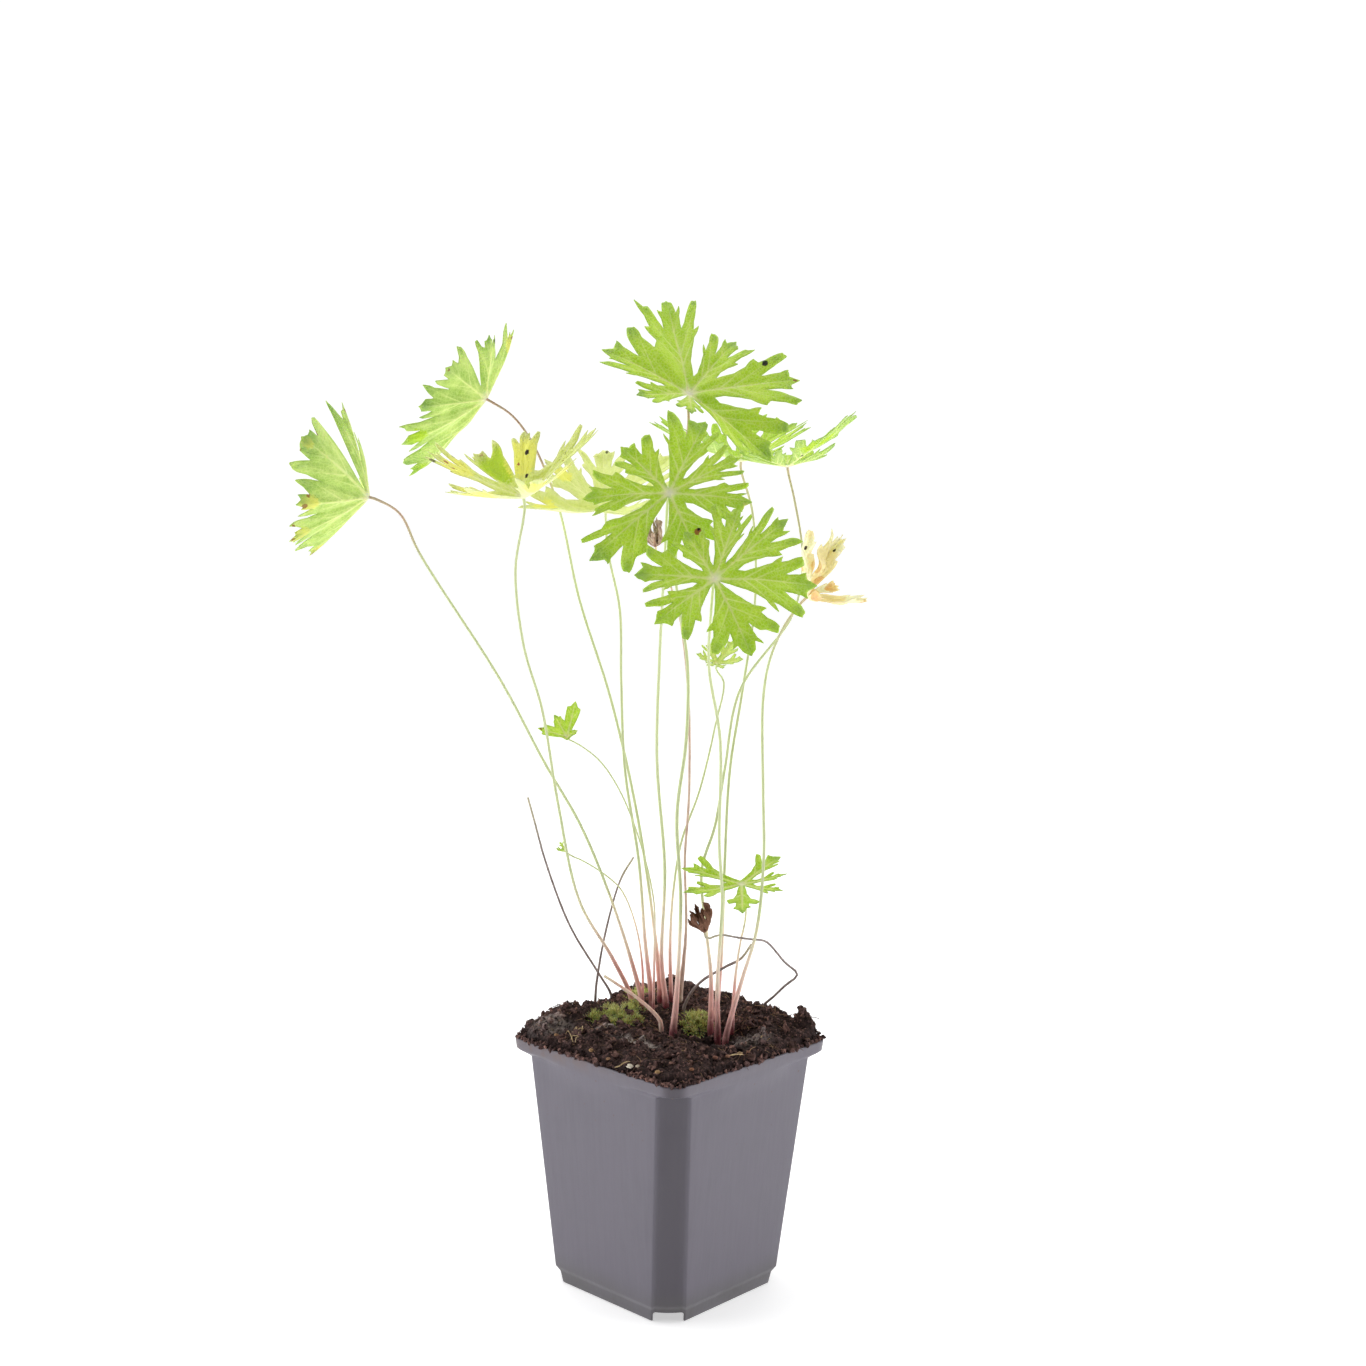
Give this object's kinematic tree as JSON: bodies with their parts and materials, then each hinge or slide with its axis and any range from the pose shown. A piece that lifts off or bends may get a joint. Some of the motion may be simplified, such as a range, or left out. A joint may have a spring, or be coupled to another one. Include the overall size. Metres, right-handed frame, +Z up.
{
  "type": "potted hardy geranium",
  "caption": "Young hardy geranium with deeply cut leaves on long thin stalks, some yellowing or dead, in peat in a square tapered nursery pot.",
  "frame": {"origin": "on the floor under the middle of the pot", "axes": "+Z up, with one corner of the pot towards -Y and the next towards +X"},
  "size_m": [0.2107, 0.1672, 0.3831],
  "materials": {
    "pot": "satin",
    "peat": "matte",
    "leaf": "satin",
    "leaf_yellowing": "satin",
    "leaf_dying": "matte",
    "leaf_dead": "matte",
    "stalk": "satin",
    "stalk_old": "satin",
    "stalk_dead": "matte"
  },
  "bodies": {
    "root": {"pot": "pot", "soil": "peat", "blade_far_left": "leaf", "stalk_far_left": "stalk", "blade_upper_left": "leaf", "stalk_upper_left": "stalk", "blade_yellowing": "leaf_yellowing", "stalk_yellowing": "stalk", "blade_pale_centre": "leaf_yellowing", "stalk_pale_centre": "stalk", "blade_centre": "leaf", "stalk_centre": "stalk", "blade_front": "leaf", "stalk_front": "stalk", "blade_top": "leaf", "stalk_top": "stalk", "blade_behind": "leaf", "stalk_behind": "stalk", "blade_right": "leaf", "stalk_right": "stalk", "blade_dying_right": "leaf_dying", "stalk_dying_right": "stalk", "blade_small_pale": "leaf", "stalk_small_pale": "stalk", "blade_folded_young": "leaf", "stalk_folded_young": "stalk", "blade_bud": "leaf", "stalk_bud": "stalk", "blade_fresh": "leaf", "stalk_fresh": "stalk", "blade_curled_dead": "leaf_dead", "stalk_curled_dead": "stalk_dead", "blade_dry_brown": "leaf_dead", "stalk_dry_brown": "stalk_dead", "stalk_dead_left": "stalk_dead", "stalk_dead_back": "stalk_dead", "stalk_stub": "stalk_old", "stalk_old_stick": "stalk_dead"}
  },
  "joints": []
}
